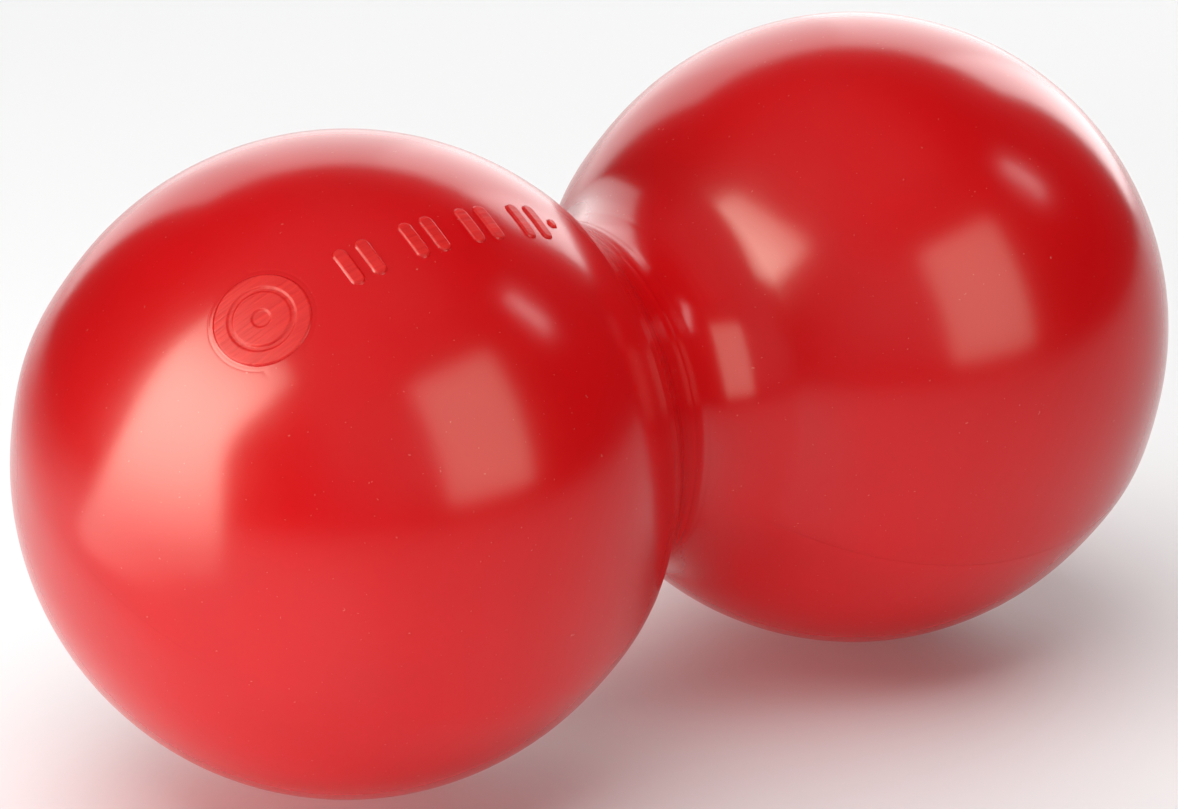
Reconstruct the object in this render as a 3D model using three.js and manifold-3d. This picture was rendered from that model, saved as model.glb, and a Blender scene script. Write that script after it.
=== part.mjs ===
// A double massage ball: two balls joined by a short waist, moulded in soft PVC as two half
// shells that are bonded along a seam, and blown up through a self-sealing valve.
// Millimetres, +Z up, the long axis along X, the origin under the waist on the floor.
import * as THREE from 'three';
import { mergeVertices } from 'three/addons/utils/BufferGeometryUtils.js';
import Module from 'manifold-3d';

const wasm = await Module();
wasm.setup();

// Driving dimensions
const BALL_RADIUS = 60;
const HALF_DISTANCE = 60;         // from the waist to the centre of a ball
const WAIST_RADIUS = 33;
const WALL = 4;
const GAP = 0.3;                  // between pieces that touch
const SEAM_ROLL = 30.4;           // degrees that the seam plane is rolled about X from level
const SEAM_RISE = 0.5;            // height of the low ridge along the seam
const SEAM_SPREAD = 7.3;          // half width of that ridge
const LIP_DEPTH = 3;              // lap of the upper shell inside the lower one
const FLAT_DEPTH = 0.25;          // how far the balls settle where they rest

const EMBLEM_RADIUS = 8.7;
const EMBLEM_ANGLE = -36.4;       // along the ball, from its widest ring towards its free end
const EMBLEM_RELIEF = 0.3;
const MARK_ANGLES = [-17.4, -4.8, 6.7, 18.5];
const MARK_LENGTH = 8.4;
const MARK_WIDTH = 2.6;
const MARK_SPACING = 4.4;         // between the two bars of one mark
const RELIEF = 0.4;
const DOT_ANGLE = 24.6;
const DOT_RADIUS = 1.1;

// The valve, by distance from the ball's centre (levels) and from the valve's axis (radii)
const VALVE_FACE = 59.3;
const FLANGE_RADIUS = 9;
const FLANGE_UNDER = 57.9;
const STEM_RADIUS = 6;
const STEM_END = 47.2;
const BOSS_RADIUS = 12;
const BOSS_END = 48.5;
const MOUTH_RADIUS = 5.4;
const MOUTH_FLOOR = 57.8;
const BORE_RADIUS = 2.9;
const POCKET_TOP = 54.4;
const POCKET_FLOOR = 49.4;
const POCKET_RADIUS = 4.2;

// Facets around the long axis, from a free end to the widest ring, on to the waist, and across it
const FINE = { around: 60, end: 9, flank: 6, waist: 6 };
const COARSE = { around: 24, end: 4, flank: 3, waist: 4 };

// The waist is a hollow fillet ring that touches both balls
const FILLET_RADIUS = (HALF_DISTANCE ** 2 + WAIST_RADIUS ** 2 - BALL_RADIUS ** 2)
  / (2 * (BALL_RADIUS - WAIST_RADIUS));
const RING_RADIUS = WAIST_RADIUS + FILLET_RADIUS;
const TANGENT_ANGLE = Math.atan2(RING_RADIUS, HALF_DISTANCE);
const TANGENT_X = HALF_DISTANCE - BALL_RADIUS * Math.cos(TANGENT_ANGLE);

const radians = THREE.MathUtils.degToRad;

function solid(geometry) {
  const bare = geometry.clone();
  bare.deleteAttribute('normal');
  bare.deleteAttribute('uv');
  const merged = mergeVertices(bare, 1e-4);
  return new wasm.Manifold(new wasm.Mesh({
    numProp: 3,
    vertProperties: new Float32Array(merged.attributes.position.array),
    triVerts: new Uint32Array(merged.index.array),
  }));
}

function geometryOf(manifold) {
  const { vertProperties, triVerts } = manifold.getMesh();
  const geometry = new THREE.BufferGeometry();
  geometry.setAttribute('position', new THREE.BufferAttribute(vertProperties, 3));
  geometry.setIndex(new THREE.BufferAttribute(triVerts, 1));
  geometry.computeVertexNormals();
  return geometry;
}

// A turned solid. Points are [radius, level] from the bottom up, and the levels run along +Z.
function turned(points, segments) {
  const profile = points.map(([radius, level]) => new THREE.Vector2(radius, level));
  return new THREE.LatheGeometry(profile, segments).rotateX(Math.PI / 2);
}

function disc(radius, bottom, top, segments = 36) {
  return turned([[0, bottom], [radius, bottom], [radius, top], [0, top]], segments);
}

// Outline of the double ball at a depth below its surface, from the -X end to the +X end
function outline(depth, facets) {
  const radius = BALL_RADIUS - depth;
  const onBall = (angle) => [radius * Math.cos(angle), -HALF_DISTANCE + radius * Math.sin(angle)];
  const ball = [[0, -HALF_DISTANCE - radius]];
  for (let i = facets.end - 1; i >= 0; i--) {
    ball.push(onBall((-Math.PI / 2) * (i / facets.end)));
  }
  for (let i = 1; i <= facets.flank; i++) {
    ball.push(onBall((Math.PI / 2 - TANGENT_ANGLE) * (i / facets.flank)));
  }
  const waist = [];
  const fillet = FILLET_RADIUS + depth;
  for (let i = 1; i < facets.waist; i++) {
    const angle = (Math.PI / 2 - TANGENT_ANGLE) * ((2 * i) / facets.waist - 1);
    waist.push([RING_RADIUS - fillet * Math.cos(angle), fillet * Math.sin(angle)]);
  }
  const otherBall = ball.map(([r, x]) => [r, -x]).reverse();
  return [...ball, ...waist, ...otherBall];
}

// The whole double ball as a solid, at a depth below its surface, along the X axis
function doubleBall(depth, facets) {
  const profile = outline(depth, facets).map(([r, x]) => new THREE.Vector2(r, x));
  return new THREE.LatheGeometry(profile, facets.around).rotateZ(-Math.PI / 2);
}

function outward(point) {
  if (Math.abs(point.x) > TANGENT_X) {
    const centre = new THREE.Vector3(Math.sign(point.x) * HALF_DISTANCE, 0, 0);
    return point.clone().sub(centre).normalize();
  }
  return new THREE.Vector3(0, point.y, point.z).setLength(RING_RADIUS).sub(point).normalize();
}

// Lifts the surface into the low ridge that follows the seam plane, z = 0
function raiseSeam(geometry) {
  const position = geometry.attributes.position;
  const point = new THREE.Vector3();
  for (let i = 0; i < position.count; i++) {
    point.fromBufferAttribute(position, i);
    const rise = SEAM_RISE * Math.exp(-((point.z / SEAM_SPREAD) ** 2));
    point.addScaledVector(outward(point), rise);
    position.setXYZ(i, point.x, point.y, point.z);
  }
  return geometry;
}

// A slab that reaches past the double ball, between two heights over the seam plane
function slab(bottom, top) {
  const size = 3 * (BALL_RADIUS + HALF_DISTANCE);
  const box = new THREE.BoxGeometry(size, size, top - bottom);
  return solid(box.translate(0, 0, (bottom + top) / 2));
}

// Turns a shape built along +Z onto the marked ball, at an angle along its length
function onMarkedBall(geometry, angle) {
  return solid(geometry.rotateY(radians(angle)).translate(-HALF_DISTANCE, 0, 0));
}

// Turns a shape built along +Z onto the valve's axis, level and to the rear
function toValve(geometry) {
  return geometry.rotateX(radians(-90 - SEAM_ROLL)).translate(HALF_DISTANCE, 0, 0);
}

function bar(offset) {
  const straight = MARK_LENGTH - MARK_WIDTH;
  const outlineShape = new THREE.Shape();
  outlineShape.absarc(0, straight / 2, MARK_WIDTH / 2, 0, Math.PI);
  outlineShape.absarc(0, -straight / 2, MARK_WIDTH / 2, Math.PI, 2 * Math.PI);
  const options = { depth: BALL_RADIUS + RELIEF - 58, bevelEnabled: false, curveSegments: 4 };
  return new THREE.ExtrudeGeometry(outlineShape, options).translate(offset, 0, 58);
}

// The round plate of the emblem, domed like the ball
function emblemDisc() {
  const points = [[0, BALL_RADIUS - 2], [EMBLEM_RADIUS, BALL_RADIUS - 2]];
  for (let i = 4; i >= 0; i--) {
    const radius = (EMBLEM_RADIUS * i) / 4;
    points.push([radius, Math.sqrt((BALL_RADIUS + EMBLEM_RELIEF) ** 2 - radius ** 2)]);
  }
  return turned(points, 36);
}

const outside = solid(raiseSeam(doubleBall(0, FINE)));
const inside = solid(doubleBall(WALL, COARSE));
const wall = outside.subtract(inside);
const far = 2 * BALL_RADIUS;

function upperShell() {
  const innerLayer = solid(doubleBall((WALL + GAP) / 2, COARSE)).subtract(inside);
  const lip = innerLayer.intersect(slab(-LIP_DEPTH, 1));
  let shell = wall.intersect(slab(GAP / 2, far)).add(lip);
  shell = shell.add(onMarkedBall(emblemDisc(), EMBLEM_ANGLE));
  const under = BALL_RADIUS - 0.2;
  const ring = turned([[5, under], [6.1, under], [6.1, far], [5, far], [5, under]], 36);
  shell = shell.subtract(onMarkedBall(ring, EMBLEM_ANGLE));
  shell = shell.subtract(onMarkedBall(disc(1.7, under, far, 20), EMBLEM_ANGLE));
  for (const angle of MARK_ANGLES) {
    for (const side of [-1, 1]) {
      shell = shell.add(onMarkedBall(bar((side * MARK_SPACING) / 2), angle));
    }
  }
  const dot = disc(DOT_RADIUS, BALL_RADIUS - 2, BALL_RADIUS + RELIEF, 16);
  return shell.add(onMarkedBall(dot, DOT_ANGLE));
}

function lowerShell() {
  const outerLayer = solid(doubleBall((WALL - GAP) / 2, COARSE));
  let shell = wall.intersect(slab(-far, -GAP / 2));
  shell = shell.subtract(outerLayer.intersect(slab(-LIP_DEPTH - GAP, 1)));
  shell = shell.add(solid(toValve(disc(BOSS_RADIUS, BOSS_END, BALL_RADIUS - WALL + 1))));
  shell = shell.subtract(solid(toValve(disc(STEM_RADIUS + GAP, 0.9 * BOSS_END, far))));
  const seat = disc(FLANGE_RADIUS + GAP, FLANGE_UNDER - GAP, far);
  shell = shell.subtract(solid(toValve(seat)));
  const floor = new THREE.BoxGeometry(far * 3, far, far);
  floor.translate(0, 0, FLAT_DEPTH - BALL_RADIUS - far / 2).rotateX(radians(-SEAM_ROLL));
  return shell.subtract(solid(floor));
}

// A soft insert with a flange outside, a barb inside, a mouth for the plug and a pocket
function valveHousing() {
  const barb = STEM_RADIUS + 0.8;
  return turned([
    [2, STEM_END], [barb, STEM_END], [barb, BOSS_END - GAP], [STEM_RADIUS, BOSS_END - GAP],
    [STEM_RADIUS, FLANGE_UNDER], [FLANGE_RADIUS, FLANGE_UNDER],
    [FLANGE_RADIUS, VALVE_FACE - 0.4], [FLANGE_RADIUS - 0.5, VALVE_FACE],
    [MOUTH_RADIUS, VALVE_FACE], [MOUTH_RADIUS, MOUTH_FLOOR], [BORE_RADIUS, MOUTH_FLOOR],
    [BORE_RADIUS, POCKET_TOP], [POCKET_RADIUS, POCKET_TOP], [POCKET_RADIUS, POCKET_FLOOR],
    [2, POCKET_FLOOR], [2, STEM_END],
  ], 36);
}

// The self-sealing slug, with a dimple that leads the pump needle in
function valveCore() {
  const radius = POCKET_RADIUS - GAP;
  const top = POCKET_TOP - GAP;
  return turned([[0, POCKET_FLOOR + GAP], [radius, POCKET_FLOOR + GAP], [radius, top],
    [1.6, top], [0, top - 1]], 28);
}

// The stopper, flush in the mouth, with a slot across its head to lift it by
function valvePlug() {
  const head = MOUTH_RADIUS - GAP;
  const stem = BORE_RADIUS - GAP;
  const under = MOUTH_FLOOR + GAP;
  const tip = POCKET_TOP + GAP;
  const top = VALVE_FACE + 0.2;
  const body = solid(turned([[0, tip], [stem - 0.5, tip], [stem, tip + 0.7], [stem, under],
    [head, under], [head, top - 0.4], [head - 0.4, top], [0, top]], 36));
  const slot = new THREE.BoxGeometry(6.4, 1.2, 1.4).translate(0, 0, top);
  return geometryOf(body.subtract(solid(slot)));
}

function addMesh(parent, name, geometry, color, roughness) {
  const material = new THREE.MeshStandardMaterial({ color, roughness, metalness: 0 });
  const mesh = new THREE.Mesh(geometry, material);
  mesh.name = name;
  parent.add(mesh);
}

const massageBall = new THREE.Group();
massageBall.position.z = BALL_RADIUS - FLAT_DEPTH;

const shells = new THREE.Group();
shells.rotation.x = radians(SEAM_ROLL);
addMesh(shells, 'upper_shell', geometryOf(upperShell()), 0xe1191c, 0.22);
addMesh(shells, 'lower_shell', geometryOf(lowerShell()), 0xe1191c, 0.22);
massageBall.add(shells);

const valve = new THREE.Group();
valve.position.x = HALF_DISTANCE;
valve.rotation.x = radians(-90);
addMesh(valve, 'valve_housing', valveHousing(), 0xa81416, 0.5);
addMesh(valve, 'valve_core', valveCore(), 0x2a2a2c, 0.7);
addMesh(valve, 'valve_plug', valvePlug(), 0xeeeae2, 0.45);
massageBall.add(valve);

export default massageBall;
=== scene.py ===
"""A double massage ball in glossy red PVC: fine shells, valve, floor, light and camera.

Everything is in metres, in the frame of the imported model: X along the two balls, +Z up.
The shells are worked out in the mould's frame, where the seam plane is z = 0 and the raised
marks face +Z, and are then rolled about X and lifted onto the floor.
"""
import math

import bmesh
import bpy
import numpy as np
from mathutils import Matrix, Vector


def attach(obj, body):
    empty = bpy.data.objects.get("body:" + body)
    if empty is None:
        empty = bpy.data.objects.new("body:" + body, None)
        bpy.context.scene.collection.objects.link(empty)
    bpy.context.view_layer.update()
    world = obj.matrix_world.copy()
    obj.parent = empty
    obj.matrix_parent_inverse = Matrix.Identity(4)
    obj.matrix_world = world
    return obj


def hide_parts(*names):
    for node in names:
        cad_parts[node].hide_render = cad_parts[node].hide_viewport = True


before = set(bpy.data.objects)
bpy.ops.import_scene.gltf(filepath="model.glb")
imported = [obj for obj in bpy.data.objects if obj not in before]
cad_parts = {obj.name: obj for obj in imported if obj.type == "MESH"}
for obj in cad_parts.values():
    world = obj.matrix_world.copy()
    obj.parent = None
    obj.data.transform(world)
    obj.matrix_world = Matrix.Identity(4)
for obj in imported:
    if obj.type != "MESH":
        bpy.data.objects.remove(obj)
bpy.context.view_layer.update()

MM = 0.001

# ---------------------------------------------------------------- dimensions
BALL = 60 * MM                    # radius of a ball
HALF = 60 * MM                    # from the waist to a ball's centre
WAIST = 33 * MM                   # radius at the waist
WALL = 4 * MM
ROLL = math.radians(30.4)         # roll of the seam plane about X
SINK = 0.25 * MM                  # how far each ball flattens where it rests
AXIS_HEIGHT = BALL - SINK

FILLET = (HALF**2 + WAIST**2 - BALL**2) / (2 * (BALL - WAIST))
RING = WAIST + FILLET
TANGENT = math.atan2(RING, HALF)  # angle at a ball's centre between the axis and the fillet
BALL_ARC = BALL * (math.pi - TANGENT)
FILLET_ARC = FILLET * (math.pi - 2 * TANGENT)
FULL_ARC = 2 * BALL_ARC + FILLET_ARC

SEAM_RISE = 0.5 * MM
SEAM_SPREAD = 7.3 * MM
SEAM_LINES = [(82.0, 88.0, 1.0), (88.0, 89.4, 0.28), (89.4, 90.0, 0.1)]  # degrees from middle
SEAM_GAP = 0.008 * MM             # half of the hairline between the shells
SEAM_ROUND = 0.03 * MM            # rounding of each shell's edge
SEAM_ROUND_SPREAD = 0.22 * MM

EMBLEM_RADIUS = 8.7 * MM
EMBLEM_ANGLE = -36.4
EMBLEM_RELIEF = 0.3 * MM
EMBLEM_CUT = 0.8                  # how much of the relief the ring and the dot take away
EMBLEM_RING_RADIUS = 5.6 * MM
EMBLEM_RING_HALF = 0.6 * MM
EMBLEM_DOT_RADIUS = 1.8 * MM
WITNESS_RADIUS = 9.6 * MM         # the faint line left by the edge of the emblem's steel insert
WITNESS_DEPTH = 0.03 * MM
WITNESS_SPREAD = 0.16 * MM
MARK_ANGLES = (-17.4, -4.8, 6.7, 18.5)
MARK_LENGTH = 8.4 * MM
MARK_WIDTH = 2.6 * MM
MARK_SPACING = 4.4 * MM
RELIEF = 0.38 * MM
EDGE_STEP = 0.30 * MM             # width of the rounded step at the edge of raised shapes
DOT_ANGLE = 24.6
DOT_RADIUS = 1.1 * MM

# The valve, by distance from the ball's centre (levels) and from the valve's axis (radii)
GAP = 0.3 * MM                    # between pieces that touch
VALVE_FACE = 59.3 * MM
FLANGE_RADIUS = 9 * MM
FLANGE_UNDER = 57.9 * MM
STEM_RADIUS = 6 * MM
STEM_END = 47.2 * MM
BOSS_RADIUS = 12 * MM
BOSS_END = 48.5 * MM
MOUTH_RADIUS = 5.4 * MM
MOUTH_FLOOR = 57.8 * MM
BORE_RADIUS = 2.9 * MM
POCKET_TOP = 54.4 * MM
POCKET_FLOOR = 49.4 * MM
POCKET_RADIUS = 4.2 * MM
COLLAR_RADIUS = 12.5 * MM         # where the seat's rings meet the shell's grid

# The valve's own directions in the mould's frame: level along the floor, down, and outward
VALVE_SIDE = np.array([1.0, 0.0, 0.0])
VALVE_DOWN = np.array([0.0, -math.sin(ROLL), -math.cos(ROLL)])
VALVE_OUT = np.array([0.0, math.cos(ROLL), -math.sin(ROLL)])
VALVE_BALL = np.array([HALF, 0.0, 0.0])


# ---------------------------------------------------------------- the camera
CAMERA_AZIMUTH = math.radians(-38.8)
CAMERA_ELEVATION = math.radians(19.75)
CAMERA_DISTANCE = 18.755 * BALL
CAMERA_RIGHT = -0.0567 * BALL     # how far the camera stands beside the waist's middle
CAMERA_UP = -0.0346 * BALL

FORWARD = Vector((
    -math.sin(CAMERA_AZIMUTH) * math.cos(CAMERA_ELEVATION),
    math.cos(CAMERA_AZIMUTH) * math.cos(CAMERA_ELEVATION),
    -math.sin(CAMERA_ELEVATION),
))
RIGHT = FORWARD.cross(Vector((0, 0, 1))).normalized()
UP = RIGHT.cross(FORWARD)
MIDDLE = Vector((0, 0, AXIS_HEIGHT))


def make_camera():
    data = bpy.data.cameras.new("camera")
    data.sensor_fit = "HORIZONTAL"
    data.sensor_width = 36
    data.lens = 186.1
    camera = bpy.data.objects.new("camera", data)
    camera.location = MIDDLE + RIGHT * CAMERA_RIGHT + UP * CAMERA_UP - FORWARD * CAMERA_DISTANCE
    camera.rotation_mode = "QUATERNION"
    camera.rotation_quaternion = FORWARD.to_track_quat("-Z", "Y")
    bpy.context.scene.collection.objects.link(camera)
    bpy.context.scene.camera = camera


# ---------------------------------------------------------------- shapes in numbers
def lines(*spans):
    """Grid lines through spans of (start, end, step), each span divided evenly."""
    values = []
    for start, end, step in spans:
        count = max(1, round((end - start) / step))
        values.extend(np.linspace(start, end, count + 1)[:-1])
    values.append(spans[-1][1])
    return np.array(values)


def outline(arc):
    """Radius, place and unit normal (radial, axial) of the outline at lengths along it."""
    arc = np.asarray(arc, dtype=float)
    far_half = arc > FULL_ARC / 2
    near = np.where(far_half, FULL_ARC - arc, arc)
    on_ball = near <= BALL_ARC
    angle = near / BALL - math.pi / 2
    ball_r, ball_x = np.cos(angle), np.sin(angle)
    turn = (near - BALL_ARC) / FILLET - (math.pi / 2 - TANGENT)
    radius = np.where(on_ball, BALL * ball_r, RING - FILLET * np.cos(turn))
    place = np.where(on_ball, -HALF + BALL * ball_x, FILLET * np.sin(turn))
    normal_r = np.where(on_ball, ball_r, np.cos(turn))
    normal_x = np.where(on_ball, ball_x, -np.sin(turn))
    sign = np.where(far_half, -1.0, 1.0)
    return np.maximum(radius, 0), place * sign, normal_r, normal_x * sign


def smooth(value, low, high):
    t = np.clip((value - low) / (high - low), 0, 1)
    return t * t * (3 - 2 * t)


def ball_frame(points, angle):
    """Coordinates on the marked ball around a point of its marked line: along and across it."""
    turn = math.radians(angle)
    x = points[..., 0] + HALF
    along = x * math.cos(turn) - points[..., 2] * math.sin(turn)
    outward = x * math.sin(turn) + points[..., 2] * math.cos(turn)
    across = points[..., 1]
    return np.where(outward > 0, along, 1.0), across


def pill(along, across, offset):
    """Distance from the edge of one bar, negative inside."""
    straight = (MARK_LENGTH - MARK_WIDTH) / 2
    beyond = np.maximum(np.abs(across) - straight, 0)
    return np.hypot(along - offset, beyond) - MARK_WIDTH / 2


def raised(distance):
    """1 inside an edge and 0 outside it, with a rounded step."""
    return 1 - smooth(distance, -EDGE_STEP, 0)


def marks(points):
    """Height of the raised marks, and how much of each point is worked surface."""
    height = np.zeros(points.shape[:-1])
    worked = np.zeros(points.shape[:-1])
    edges = []
    for angle in MARK_ANGLES:
        along, across = ball_frame(points, angle)
        edges += [pill(along, across, side * MARK_SPACING / 2) for side in (-1, 1)]
    edges.append(np.hypot(*ball_frame(points, DOT_ANGLE)) - DOT_RADIUS)
    for edge in edges:
        height = np.maximum(height, RELIEF * raised(edge))
        worked = np.maximum(worked, raised(edge - EDGE_STEP / 2))

    away = np.hypot(*ball_frame(points, EMBLEM_ANGLE))
    ring = raised(np.abs(away - EMBLEM_RING_RADIUS) - EMBLEM_RING_HALF)
    cut = np.maximum(ring, raised(away - EMBLEM_DOT_RADIUS))
    plate = EMBLEM_RELIEF * raised(away - EMBLEM_RADIUS)
    height = np.maximum(height, plate * (1 - cut * EMBLEM_CUT))
    height = height - WITNESS_DEPTH * np.exp(-((away - WITNESS_RADIUS) / WITNESS_SPREAD) ** 2)
    worked = np.maximum(worked, raised(away - EMBLEM_RADIUS - EDGE_STEP / 2))
    return height, worked


def swell(points):
    """The slight unevenness of a soft moulding, a few hundredths of a millimetre."""
    x, y, z = (points[..., i] / BALL for i in range(3))
    return 0.018 * MM * (
        np.sin(4.1 * x + 2.3 * y - 1.7 * z + 0.6)
        + np.sin(-2.9 * x + 5.2 * y + 3.1 * z + 2.1)
        + 0.6 * np.sin(6.3 * x - 4.4 * y + 7.9 * z + 4.0)
    )


def openness(points):
    """The bond is neater on the marked ball than on the other: 0.3 to 1."""
    return 0.3 + 0.7 * smooth(points[..., 0], -10 * MM, 25 * MM)


def seam(points):
    """The low ridge along the seam, and each shell's rounded edge."""
    away = np.abs(points[..., 2])
    ridge = SEAM_RISE * np.exp(-((away / SEAM_SPREAD) ** 2))
    edge = SEAM_ROUND * np.exp(-((away / SEAM_ROUND_SPREAD) ** 2))
    off_the_ends = smooth(np.hypot(points[..., 1], points[..., 2]), 1 * MM, 8 * MM)
    return ridge - edge * openness(points) * off_the_ends


def waist_rings(arc):
    """Fine turning marks that the mould leaves around the waist."""
    middle = (arc - FULL_ARC / 2) / MM
    height = np.zeros_like(middle)
    rings = ((-27.5, 0.04, 0.8), (-22.8, 0.03, 0.8), (-17.2, 0.035, 0.7), (-14.6, 0.04, 0.7),
             (-11.9, 0.04, 0.7), (-7.6, 0.10, 0.8), (-3.6, 0.03, 0.7), (3.4, 0.02, 0.7))
    for place, tall, wide in rings:
        height += tall * MM * np.exp(-(((middle - place) / wide) ** 2))
    return height


# ---------------------------------------------------------------- shells
def to_world(points):
    """From the mould's frame to the model's frame."""
    x, y, z = points[:, 0], points[:, 1], points[:, 2]
    turned_y = y * math.cos(ROLL) - z * math.sin(ROLL)
    turned_z = y * math.sin(ROLL) + z * math.cos(ROLL) + AXIS_HEIGHT
    return np.stack([x, turned_y, turned_z], axis=1)


def grid_points(arc, around, side, depth):
    """Points and outward normals of a half of the double ball, side +1 upper or -1 lower."""
    radius, place, normal_r, normal_x = outline(arc)
    sine, cosine = np.sin(around), np.cos(around) * side
    cosine[[0, -1]] = 0
    normal = np.stack([
        np.repeat(normal_x[:, None], len(around), axis=1),
        normal_r[:, None] * sine[None, :],
        normal_r[:, None] * cosine[None, :],
    ], axis=-1)
    points = np.stack([
        np.repeat(place[:, None], len(around), axis=1),
        radius[:, None] * sine[None, :],
        radius[:, None] * cosine[None, :],
    ], axis=-1)
    return points - normal * depth, normal


def part_seam(points, side):
    """Opens the hairline between the shells."""
    part = SEAM_GAP * openness(points) * np.exp(-((points[..., 2] / (2 * MM)) ** 2))
    points[..., 2] += side * part
    return points


class MeshMaker:
    """Collects vertices and faces, and makes one object of them."""

    def __init__(self):
        self.points, self.faces, self.worked, self.count = [], [], [], 0

    def add(self, points, worked=None):
        flat = points.reshape(-1, 3)
        first = self.count
        self.points.append(flat)
        self.worked.append(np.zeros(len(flat)) if worked is None else worked.reshape(-1))
        self.count += len(flat)
        return np.arange(first, self.count).reshape(points.shape[:-1])

    def quads(self, index, keep=None):
        """Faces between the neighbours of a grid, all of them or only the cells to keep."""
        a, b, c, d = index[:-1, :-1], index[1:, :-1], index[1:, 1:], index[:-1, 1:]
        cells = np.stack([a, b, c, d], axis=-1)
        self.faces.extend((cells.reshape(-1, 4) if keep is None else cells[keep]).tolist())

    def rings(self, index):
        """Faces between closed rings of the same number of vertices."""
        self.quads(np.concatenate([index, index[:, :1]], axis=1))

    def build(self, name, place):
        """One smooth welded object, with its points moved to their place."""
        mesh = bpy.data.meshes.new(name)
        mesh.from_pydata(place(np.concatenate(self.points)).tolist(), [], self.faces)
        attribute = mesh.attributes.new("worked", "FLOAT", "POINT")
        attribute.data.foreach_set("value", np.concatenate(self.worked).astype(np.float32))
        mesh.validate()
        weld(mesh)
        mesh.polygons.foreach_set("use_smooth", [True] * len(mesh.polygons))
        obj = bpy.data.objects.new(name, mesh)
        bpy.context.scene.collection.objects.link(obj)
        return obj


def rest_on_floor(points):
    """Into the model's frame, with the two small flats where the balls rest."""
    placed = to_world(points)
    placed[:, 2] = np.maximum(placed[:, 2], 0)
    return placed


def weld(mesh, distance=1e-6):
    """Joins vertices that coincide, and turns all faces outward."""
    work = bmesh.new()
    work.from_mesh(mesh)
    bmesh.ops.remove_doubles(work, verts=work.verts, dist=distance)
    bmesh.ops.dissolve_degenerate(work, edges=work.edges, dist=distance)
    bmesh.ops.recalc_face_normals(work, faces=work.faces)
    work.to_mesh(mesh)
    work.free()


def mirrored(spans):
    """The same spans on both sides of 0, from the far negative end to the far positive end."""
    left = [(-end, -start, step) for start, end, step in reversed(spans)]
    return left + list(spans)


def on_ball_arc(angle):
    """Length along the outline at an angle past the marked ball's widest ring, in degrees."""
    return BALL * (math.pi / 2 + math.radians(angle))


def shell(side, around_spans, arc_spans, decorate=None):
    """Outer and inner surface of one shell as grids, and how worked the outer one is."""
    around = np.radians(lines(*mirrored(around_spans)))
    arc = lines(*arc_spans)
    points, normal = grid_points(arc, around, side, 0.0)
    height = seam(points) + swell(points) + waist_rings(arc)[:, None]
    worked = np.zeros(height.shape)
    if decorate:
        extra, worked = decorate(points)
        height = height + extra
    outer = part_seam(points + normal * height[..., None], side)
    inner_points, _ = grid_points(arc, around, side, WALL)
    return outer, part_seam(inner_points, side), worked


def close_rim(maker, outer, inner):
    for column in (0, -1):
        maker.quads(np.stack([outer[:, column], inner[:, column]], axis=1))


def with_crisp_rim(shell_piece):
    """Keeps the smooth shading from running over the edge between a shell and its rim."""
    shell_piece.data.set_sharp_from_angle(angle=math.radians(75))
    return shell_piece


def give_marks_a_finish(shell_piece, material):
    """Gives the worked faces of a shell their own material."""
    mesh = shell_piece.data
    worked = np.zeros(len(mesh.vertices), dtype=np.float32)
    mesh.attributes["worked"].data.foreach_get("value", worked)
    mesh.materials.append(material)
    for face in mesh.polygons:
        if min(worked[vertex] for vertex in face.vertices) > 0.5:
            face.material_index = 1


def make_upper_shell():
    arcs = [
        (0, on_ball_arc(-46), 1.5 * MM),
        (on_ball_arc(-46), on_ball_arc(27), 0.16 * MM),
        (on_ball_arc(27), BALL_ARC - 14 * MM, 1.5 * MM),
        (BALL_ARC - 14 * MM, BALL_ARC + FILLET_ARC, 0.15 * MM),
        (BALL_ARC + FILLET_ARC, FULL_ARC, 1.5 * MM),
    ]
    spans = [(0.0, 10.5, 0.155), (10.5, 82.0, 1.5), *SEAM_LINES]
    outer_points, inner_points, worked = shell(1, spans, arcs, marks)
    maker = MeshMaker()
    outer, inner = maker.add(outer_points, worked), maker.add(inner_points)
    maker.quads(outer)
    maker.quads(inner)
    close_rim(maker, outer, inner)
    return with_crisp_rim(maker.build("upper_shell_skin", rest_on_floor))


def valve_rings(radii, levels, angles):
    """Rings around the valve's axis in the mould's frame, one for each radius and level."""
    turn = (np.cos(angles)[:, None] * VALVE_SIDE + np.sin(angles)[:, None] * VALVE_DOWN)
    radii, levels = np.asarray(radii), np.asarray(levels)
    return VALVE_BALL + levels[:, None, None] * VALVE_OUT + radii[:, None, None] * turn


def ring_of_hole(points):
    """Cells to keep around the valve, and the grid places along the hole's edge, in order."""
    from_ball = points - VALVE_BALL
    side, down = from_ball @ VALVE_SIDE, from_ball @ VALVE_DOWN
    inside = (np.hypot(side, down) < COLLAR_RADIUS) & (from_ball @ VALVE_OUT > 0)
    cut = inside[:-1, :-1] | inside[1:, :-1] | inside[:-1, 1:] | inside[1:, 1:]
    padded = np.pad(cut, 1).astype(int)
    around = padded[:-1, :-1] + padded[1:, :-1] + padded[:-1, 1:] + padded[1:, 1:]
    rows, columns = np.nonzero((around > 0) & (around < 4))
    angle = np.arctan2(down[rows, columns], side[rows, columns])
    order = np.argsort(angle)
    steps = 2 * math.pi * np.arange(len(order)) / len(order)
    even = steps + np.mean(angle[order] - steps)
    return ~cut, rows[order], columns[order], even


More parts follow.
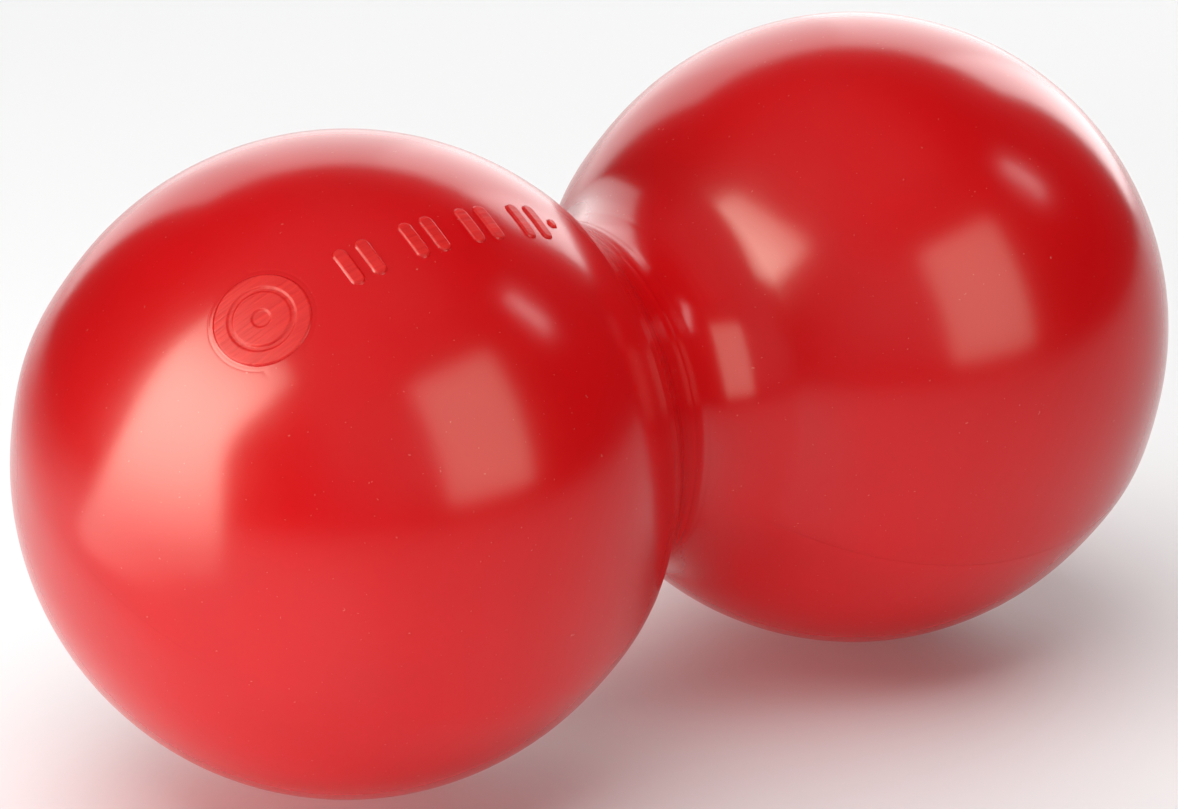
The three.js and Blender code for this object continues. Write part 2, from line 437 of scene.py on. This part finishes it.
def rounded(corners, radius):
    """An outline of (radius, level) corners with its inner corners rounded off."""
    corners = [np.array(corner, dtype=float) for corner in corners]
    points = [corners[0]]
    for before, corner, after in zip(corners, corners[1:], corners[2:]):
        reach = min(radius, 0.45 * np.linalg.norm(before - corner),
                    0.45 * np.linalg.norm(after - corner))
        start = corner + (before - corner) / np.linalg.norm(before - corner) * reach
        end = corner + (after - corner) / np.linalg.norm(after - corner) * reach
        for t in (0.0, 0.25, 0.5, 0.75, 1.0):
            points.append((1 - t) ** 2 * start + 2 * t * (1 - t) * corner + t * t * end)
    points.append(corners[-1])
    return np.array(points)


def make_lower_shell():
    valve_arc = FULL_ARC - on_ball_arc(0)
    arcs = [
        (0, BALL_ARC - 14 * MM, 1.5 * MM),
        (BALL_ARC - 14 * MM, BALL_ARC + FILLET_ARC, 0.15 * MM),
        (BALL_ARC + FILLET_ARC, valve_arc - 15 * MM, 1.5 * MM),
        (valve_arc - 15 * MM, valve_arc + 15 * MM, 0.75 * MM),
        (valve_arc + 15 * MM, FULL_ARC, 1.5 * MM),
    ]
    spans = [(0.0, 43.0, 1.5), (43.0, 76.0, 0.75), (76.0, 82.0, 1.5), *SEAM_LINES]
    outer_points, inner_points, worked = shell(-1, spans, arcs)
    keep, rows, columns, angles = ring_of_hole(outer_points)

    on_ball = np.linspace(COLLAR_RADIUS, 9.9 * MM, 6)
    collar = valve_rings(on_ball, np.sqrt(BALL**2 - on_ball**2), angles)
    outward = (collar - VALVE_BALL) / BALL
    fade = smooth(on_ball, on_ball[-1], on_ball[0])[:, None]
    collar += outward * (swell(collar) * fade)[..., None]
    seat_radius, seat_floor = FLANGE_RADIUS + GAP, FLANGE_UNDER - GAP
    rim = math.sqrt(BALL**2 - on_ball[-1]**2)
    boss_top = math.sqrt((BALL - WALL)**2 - BOSS_RADIUS**2)
    seat = rounded([
        (on_ball[-1], rim), (seat_radius, rim + 0.06 * MM), (seat_radius, seat_floor),
        (STEM_RADIUS + GAP, seat_floor), (STEM_RADIUS + GAP, BOSS_END), (BOSS_RADIUS, BOSS_END),
        (BOSS_RADIUS, boss_top),
    ], 0.45 * MM)
    seat_points = valve_rings(seat[1:-1, 0], seat[1:-1, 1], angles)
    outer_points[rows, columns] = collar[0]
    inner_points[rows, columns] = valve_rings([BOSS_RADIUS], [boss_top], angles)[0]

    maker = MeshMaker()
    outer, inner = maker.add(outer_points, worked), maker.add(inner_points)
    rings = maker.add(np.concatenate([collar[1:], seat_points]))
    maker.quads(outer, keep)
    maker.quads(inner, keep)
    close_rim(maker, outer, inner)
    maker.rings(np.concatenate([outer[rows, columns][None], rings, inner[rows, columns][None]]))
    return with_crisp_rim(maker.build("lower_shell_skin", rest_on_floor))


# ---------------------------------------------------------------- the valve's pieces
def at_valve(points):
    """From (side, down, out) of the valve to the model's frame."""
    return np.stack([HALF + points[:, 0], points[:, 2], AXIS_HEIGHT - points[:, 1]], axis=1)


def lathe(name, profile, segments=96, closed=False):
    """A turned piece on the valve's axis; an open profile is capped at both of its ends."""
    angles = 2 * math.pi * np.arange(segments) / segments
    turn = np.stack([np.cos(angles), np.sin(angles), np.zeros(segments)], axis=1)
    rings = profile[:, 0, None, None] * turn + profile[:, 1, None, None] * np.array([0, 0, 1.0])
    maker = MeshMaker()
    index = maker.add(rings)
    if closed:
        maker.rings(np.concatenate([index, index[:1]]))
    else:
        maker.rings(index)
        maker.faces.append(index[0].tolist())
        maker.faces.append(index[-1].tolist())
    return maker.build(name, at_valve)


def make_housing():
    barb = STEM_RADIUS + 0.8 * MM
    corners = [
        (FLANGE_RADIUS - 1.6 * MM, VALVE_FACE - 0.12 * MM), (FLANGE_RADIUS - 0.5 * MM, VALVE_FACE),
        (FLANGE_RADIUS, VALVE_FACE - 0.4 * MM), (FLANGE_RADIUS, FLANGE_UNDER),
        (STEM_RADIUS, FLANGE_UNDER), (STEM_RADIUS, BOSS_END - GAP), (barb, BOSS_END - GAP),
        (barb - 0.5 * MM, STEM_END), (2 * MM, STEM_END), (2 * MM, POCKET_FLOOR),
        (POCKET_RADIUS, POCKET_FLOOR), (POCKET_RADIUS, POCKET_TOP), (BORE_RADIUS, POCKET_TOP),
        (BORE_RADIUS, MOUTH_FLOOR), (MOUTH_RADIUS, MOUTH_FLOOR), (MOUTH_RADIUS, VALVE_FACE),
        (MOUTH_RADIUS + 0.9 * MM, VALVE_FACE), (MOUTH_RADIUS + 1.1 * MM, VALVE_FACE - 0.12 * MM),
        (FLANGE_RADIUS - 1.7 * MM, VALVE_FACE - 0.12 * MM),
    ]
    return lathe("valve_insert", rounded(corners, 0.18 * MM), closed=True)


def make_core():
    radius, top = POCKET_RADIUS - GAP, POCKET_TOP - GAP
    corners = [
        (0.4 * MM, POCKET_FLOOR + GAP), (radius, POCKET_FLOOR + GAP), (radius, top),
        (1.6 * MM, top), (0.5 * MM, top - 0.7 * MM), (0.1 * MM, top - 1.0 * MM),
    ]
    return lathe("valve_slug", rounded(corners, 0.25 * MM))


def make_plug():
    """The stopper: a turned body, with a slot cut across its head and the edges eased."""
    head, stem = MOUTH_RADIUS - GAP, BORE_RADIUS - GAP
    under, tip, top = MOUTH_FLOOR + GAP, POCKET_TOP + GAP, VALVE_FACE + 0.2 * MM
    corners = [
        (0.5 * MM, tip), (stem - 0.5 * MM, tip), (stem, tip + 0.7 * MM), (stem, under - 0.9 * MM),
        (stem - 0.15 * MM, under - 0.7 * MM), (stem - 0.15 * MM, under), (head, under),
        (head, top), (head - 1.2 * MM, top),
    ]
    plug = lathe("valve_stopper", rounded(corners, 0.22 * MM), 72)
    cutter = slot_cutter(top)
    cut = plug.modifiers.new("slot", "BOOLEAN")
    cut.operation = "DIFFERENCE"
    cut.solver = "EXACT"
    cut.object = cutter
    ease = plug.modifiers.new("eased", "BEVEL")
    ease.width = 0.08 * MM
    ease.segments = 2
    ease.limit_method = "ANGLE"
    ease.angle_limit = math.radians(50)
    apply_modifiers(plug)
    bpy.data.objects.remove(cutter)
    plug.data.set_sharp_from_angle(angle=math.radians(48))
    return plug


def slot_cutter(top):
    """A round-ended bar that takes the slot out of the stopper's head."""
    straight, half, deep = 2.6 * MM, 0.6 * MM, 0.7 * MM
    outline_points = []
    for end in (1, -1):
        for angle in np.linspace(-math.pi / 2, math.pi / 2, 9):
            outline_points.append((end * (straight + half * math.cos(angle)),
                                   end * half * math.sin(angle)))
    low = np.array([(*point, top - deep) for point in outline_points])
    high = low + np.array([0, 0, 2 * deep])
    maker = MeshMaker()
    index = maker.add(np.stack([low, high]))
    maker.rings(index)
    maker.faces.append(index[0].tolist())
    maker.faces.append(index[1].tolist())
    return maker.build("slot_cutter", at_valve)


def apply_modifiers(obj):
    """Replaces an object's mesh with the result of its modifiers."""
    graph = bpy.context.evaluated_depsgraph_get()
    result = bpy.data.meshes.new_from_object(obj.evaluated_get(graph))
    obj.modifiers.clear()
    old, obj.data = obj.data, result
    bpy.data.meshes.remove(old)


# ---------------------------------------------------------------- materials
def new_material(name):
    material = bpy.data.materials.new(name)
    material.use_nodes = True
    nodes = material.node_tree.nodes
    return material, nodes, material.node_tree.links, nodes["Principled BSDF"]


def noise(nodes, links, coordinates, scale, detail, roughness=0.5):
    node = nodes.new("ShaderNodeTexNoise")
    node.inputs["Scale"].default_value = scale
    node.inputs["Detail"].default_value = detail
    node.inputs["Roughness"].default_value = roughness
    links.new(coordinates, node.inputs["Vector"])
    return node.outputs["Fac"]


def spread(nodes, links, value, low, high, to_low, to_high):
    node = nodes.new("ShaderNodeMapRange")
    for socket, number in zip(("From Min", "From Max", "To Min", "To Max"),
                              (low, high, to_low, to_high)):
        node.inputs[socket].default_value = number
    links.new(value, node.inputs["Value"])
    return node.outputs["Result"]


def bump(nodes, links, height, distance, strength, under=None):
    node = nodes.new("ShaderNodeBump")
    node.inputs["Distance"].default_value = distance
    node.inputs["Strength"].default_value = strength
    links.new(height, node.inputs["Height"])
    if under:
        links.new(under, node.inputs["Normal"])
    return node.outputs["Normal"]


def mix_color(nodes, links, factor, first, second):
    node = nodes.new("ShaderNodeMix")
    node.data_type = "RGBA"
    for socket, value in (("A", first), ("B", second)):
        target = [s for s in node.inputs if s.name == socket and s.type == "RGBA"][0]
        if isinstance(value, tuple):
            target.default_value = (*value, 1)
        else:
            links.new(value, target)
    links.new(factor, node.inputs["Factor"])
    return [s for s in node.outputs if s.type == "RGBA"][0]


def brushed(nodes, links, place, along, across, down):
    """Noise drawn out in the mould's frame: its changes per metre along X, along Y and along Z."""
    stretch = nodes.new("ShaderNodeMapping")
    stretch.vector_type = "TEXTURE"
    stretch.inputs["Rotation"].default_value = (ROLL, 0, 0)
    stretch.inputs["Scale"].default_value = (1 / along, 1 / across, 1 / down)
    links.new(place, stretch.inputs["Vector"])
    return noise(nodes, links, stretch.outputs["Vector"], 1.0, 3, 0.6)


def shell_material():
    """Glossy soft PVC: nearly even red, a faint haze, polishing lines and specks of dust."""
    material, nodes, links, shader = new_material("shell_pvc")
    place = nodes.new("ShaderNodeTexCoord").outputs["Object"]
    tone = spread(nodes, links, noise(nodes, links, place, 22, 3), 0.3, 0.7, 0, 1)
    red = mix_color(nodes, links, tone, (0.35, 0.0003, 0.0016), (0.39, 0.0006, 0.0020))
    dust = spread(nodes, links, noise(nodes, links, place, 1400, 1), 0.76, 0.80, 0, 0.5)
    links.new(mix_color(nodes, links, dust, red, (0.45, 0.12, 0.10)), shader.inputs["Base Color"])
    haze = noise(nodes, links, place, 60, 4, 0.6)
    haze = spread(nodes, links, haze, 0.3, 0.7, 0.175, 0.21)
    links.new(haze, shader.inputs["Roughness"])
    peel = bump(nodes, links, noise(nodes, links, place, 260, 2), 0.00004, 0.20)
    fine = bump(nodes, links, noise(nodes, links, place, 1100, 3), 0.00002, 0.30, peel)
    polish = bump(nodes, links, brushed(nodes, links, place, 25, 900, 900), 0.00001, 0.35, fine)
    links.new(polish, shader.inputs["Normal"])
    shader.inputs["IOR"].default_value = 1.46
    shader.inputs["Coat Weight"].default_value = 0.10
    shader.inputs["Coat Roughness"].default_value = 0.5
    shader.inputs["Coat IOR"].default_value = 1.45
    soften(shader)
    return material


def marks_material():
    """The tops of the raised marks: the same PVC off cutter-finished steel, so matte and lined."""
    material, nodes, links, shader = new_material("shell_pvc_marks")
    place = nodes.new("ShaderNodeTexCoord").outputs["Object"]
    cutter = brushed(nodes, links, place, 60, 1500, 60)
    tone = spread(nodes, links, cutter, 0.35, 0.65, 0, 1)
    red = mix_color(nodes, links, tone, (0.37, 0.0022, 0.0025), (0.45, 0.009, 0.007))
    links.new(red, shader.inputs["Base Color"])
    gloss = spread(nodes, links, noise(nodes, links, place, 300, 3), 0.3, 0.7, 0.36, 0.46)
    links.new(gloss, shader.inputs["Roughness"])
    links.new(bump(nodes, links, cutter, 0.00018, 0.7), shader.inputs["Normal"])
    shader.inputs["IOR"].default_value = 1.46
    shader.inputs["Specular IOR Level"].default_value = 0.30
    soften(shader)
    return material


def soften(shader):
    """Light that enters the soft PVC spreads a little, red the furthest."""
    shader.inputs["Subsurface Weight"].default_value = 0.12
    shader.inputs["Subsurface Radius"].default_value = (0.004, 0.0008, 0.0005)
    shader.inputs["Subsurface Scale"].default_value = 1.0


def plain_material(name, first, second, low, high, scale, grain):
    """A moulded material: cloudy tone and gloss at one scale, and a fine grain."""
    material, nodes, links, shader = new_material(name)
    place = nodes.new("ShaderNodeTexCoord").outputs["Object"]
    tone = spread(nodes, links, noise(nodes, links, place, scale, 4), 0.3, 0.7, 0, 1)
    links.new(mix_color(nodes, links, tone, first, second), shader.inputs["Base Color"])
    gloss = spread(nodes, links, noise(nodes, links, place, 3 * scale, 3), 0.3, 0.7, low, high)
    links.new(gloss, shader.inputs["Roughness"])
    links.new(bump(nodes, links, noise(nodes, links, place, 12 * scale, 3), grain, 0.5),
              shader.inputs["Normal"])
    return material, shader


def floor_material():
    material, nodes, links, shader = new_material("floor")
    place = nodes.new("ShaderNodeTexCoord").outputs["Object"]
    tone = noise(nodes, links, place, 3, 3)
    pale = mix_color(nodes, links, tone, (0.86, 0.86, 0.86), (0.9, 0.9, 0.9))
    links.new(pale, shader.inputs["Base Color"])
    shader.inputs["Roughness"].default_value = 0.6
    return material


# ---------------------------------------------------------------- stage and light
WARM = (1.0, 0.96, 0.80)


def make_floor(ground):
    size = 3.0
    mesh = bpy.data.meshes.new("floor")
    corners = [(-size, -size, 0), (size, -size, 0), (size, size, 0), (-size, size, 0)]
    mesh.from_pydata(corners, [], [(0, 1, 2, 3)])
    mesh.materials.append(floor_material())
    floor = bpy.data.objects.new("floor", mesh)
    floor.location.z = -0.0002
    bpy.context.scene.collection.objects.link(floor)
    ground.objects.link(floor)


def area_light(name, place, toward, size, radiance, color=(1, 1, 1), in_gloss=True,
               in_diffuse=True, only=None, blocked_by=None):
    """A rectangular lamp at a place, facing another, with a radiance in scene units.

    Only the objects of one collection may be lit by it, and only those of one block it.
    """
    data = bpy.data.lights.new(name, "AREA")
    data.shape = "RECTANGLE"
    data.size, data.size_y = size
    data.energy = radiance * size[0] * size[1] * math.pi
    data.color = color
    light = bpy.data.objects.new(name, data)
    light.location = place
    light.rotation_mode = "QUATERNION"
    light.rotation_quaternion = (toward - place).to_track_quat("-Z", "Y")
    light.visible_camera = False
    light.visible_glossy = in_gloss
    light.visible_diffuse = in_diffuse
    light.light_linking.receiver_collection = only
    light.light_linking.blocker_collection = blocked_by
    bpy.context.scene.collection.objects.link(light)


def seen_from_balls(right, up, back, distance):
    """The place that lies in a direction from the ball, given as the camera sees it."""
    return MIDDLE + (RIGHT * right + UP * up - FORWARD * back).normalized() * distance


def make_lights(subject, ground):
    """Softboxes and a small lamp on the object, a backdrop, and soft light on the floor."""
    left = seen_from_balls(-0.797, 0.216, 0.564, 2.0)
    facing = (MIDDLE - left).normalized()
    aside = facing.cross(Vector((0, 0, 1))).normalized()
    rise = aside.cross(facing)
    row_height = 0.19
    # Rows from the bottom up, two for each entry: how bright, and where they start and end
    radiances = (1.5, 2.8, 6.4, 9.8, 11.6, 12.6, 11.4, 6.4)
    starts = (-1.70, -1.40, -1.10, -0.86, -0.72, -0.67, -0.63, -0.56)
    ends = (0.90, 0.92, 0.86, 0.76, 0.64, 0.66, 0.86, 1.00)
    for index in range(16):
        at = index / 2 - 0.25
        radiance, start, end = (
            float(np.interp(at, range(8), values)) for values in (radiances, starts, ends))
        row = left + rise * 2 * row_height * (at - 4.5) + aside * (start + end) / 2
        area_light(f"left_softbox_{index}", row, row + facing, (end - start, row_height),
                   radiance, WARM, in_diffuse=False, only=subject, blocked_by=subject)
    key = seen_from_balls(-0.87, 0.06, 0.49, 0.60)
    area_light("key", key, MIDDLE, (0.40, 0.40), 5.2, in_gloss=False, only=subject)
    fill = seen_from_balls(0.20, 0.10, 0.97, 1.0)
    area_light("front_fill", fill, MIDDLE, (0.80, 0.80), 2.6, in_gloss=False, only=subject)
    right = seen_from_balls(0.710, 0.187, 0.68, 2.5)
    area_light("right_softbox", right, MIDDLE, (1.46, 1.85), 3.2, WARM, only=subject)
    spot = seen_from_balls(0.760, 0.645, 0.045, 2.0)
    area_light("spot", spot, MIDDLE, (0.18, 0.48), 5.4, only=subject)
    bounce = seen_from_balls(-0.35, -0.80, 0.48, 0.45)
    area_light("bounce", bounce, MIDDLE, (0.40, 0.40), 3.1, in_gloss=False, only=subject,
               blocked_by=subject)

    ahead = Vector((FORWARD.x, FORWARD.y, 0)).normalized()
    for index, radiance in enumerate((1.5, 1.8, 2.3, 3.6)):
        panel = ahead * 1.2 + RIGHT * (0.425 * (index - 1.5) + 0.04) + Vector((0, 0, 0.37))
        area_light(f"backdrop_{index}", panel, panel - ahead, (0.425, 1.33), radiance)
    above = Vector((0, 0, 1.2)) - ahead * 0.2 - RIGHT * 0.2
    area_light("ceiling", above, above - Vector((0, 0, 1)), (1.4, 1.4), 2.6, in_gloss=False)
    low_left = MIDDLE - RIGHT * 0.42 - ahead * 0.10 + Vector((0, 0, 0.26))
    area_light("floor_light", low_left, low_left - Vector((0, 0, 1)), (0.40, 0.40), 1.8,
               in_gloss=False, only=ground, blocked_by=ground)


def make_world():
    world = bpy.data.worlds.new("studio")
    world.use_nodes = True
    background = world.node_tree.nodes["Background"]
    background.inputs["Color"].default_value = (1, 1, 1, 1)
    background.inputs["Strength"].default_value = 0.03
    bpy.context.scene.world = world
    bpy.context.scene.view_settings.view_transform = "Standard"


# ---------------------------------------------------------------- everything together
make_camera()
subject = bpy.data.collections.new("subject")
ground = bpy.data.collections.new("ground")
make_floor(ground)
make_lights(subject, ground)
make_world()

shell_pvc = shell_material()
valve_pvc, _ = plain_material(
    "valve_pvc", (0.20, 0.0015, 0.003), (0.27, 0.003, 0.005), 0.36, 0.50, 220, 0.00004)
core_rubber, _ = plain_material(
    "core_rubber", (0.012, 0.012, 0.013), (0.03, 0.03, 0.032), 0.55, 0.75, 300, 0.00006)
plug_plastic, plug_shader = plain_material(
    "plug_plastic", (0.46, 0.43, 0.36), (0.54, 0.51, 0.44), 0.34, 0.46, 180, 0.00002)
plug_shader.inputs["Subsurface Weight"].default_value = 0.2
plug_shader.inputs["Subsurface Radius"].default_value = (0.001, 0.0008, 0.0006)
plug_shader.inputs["Subsurface Scale"].default_value = 1.0

for piece, body, node, slot, material in (
    (make_upper_shell(), "ball", "upper_shell", "shell_pvc", shell_pvc),
    (make_lower_shell(), "ball", "lower_shell", "shell_pvc", shell_pvc),
    (make_housing(), "ball", "valve_housing", "valve_pvc", valve_pvc),
    (make_core(), "ball", "valve_core", "core_rubber", core_rubber),
    (make_plug(), "plug", "valve_plug", "plug_plastic", plug_plastic),
):
    piece.data.materials.append(material)
    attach(piece, body)
    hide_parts(node)
    subject.objects.link(piece)
    if node == "upper_shell":
        give_marks_a_finish(piece, marks_material())
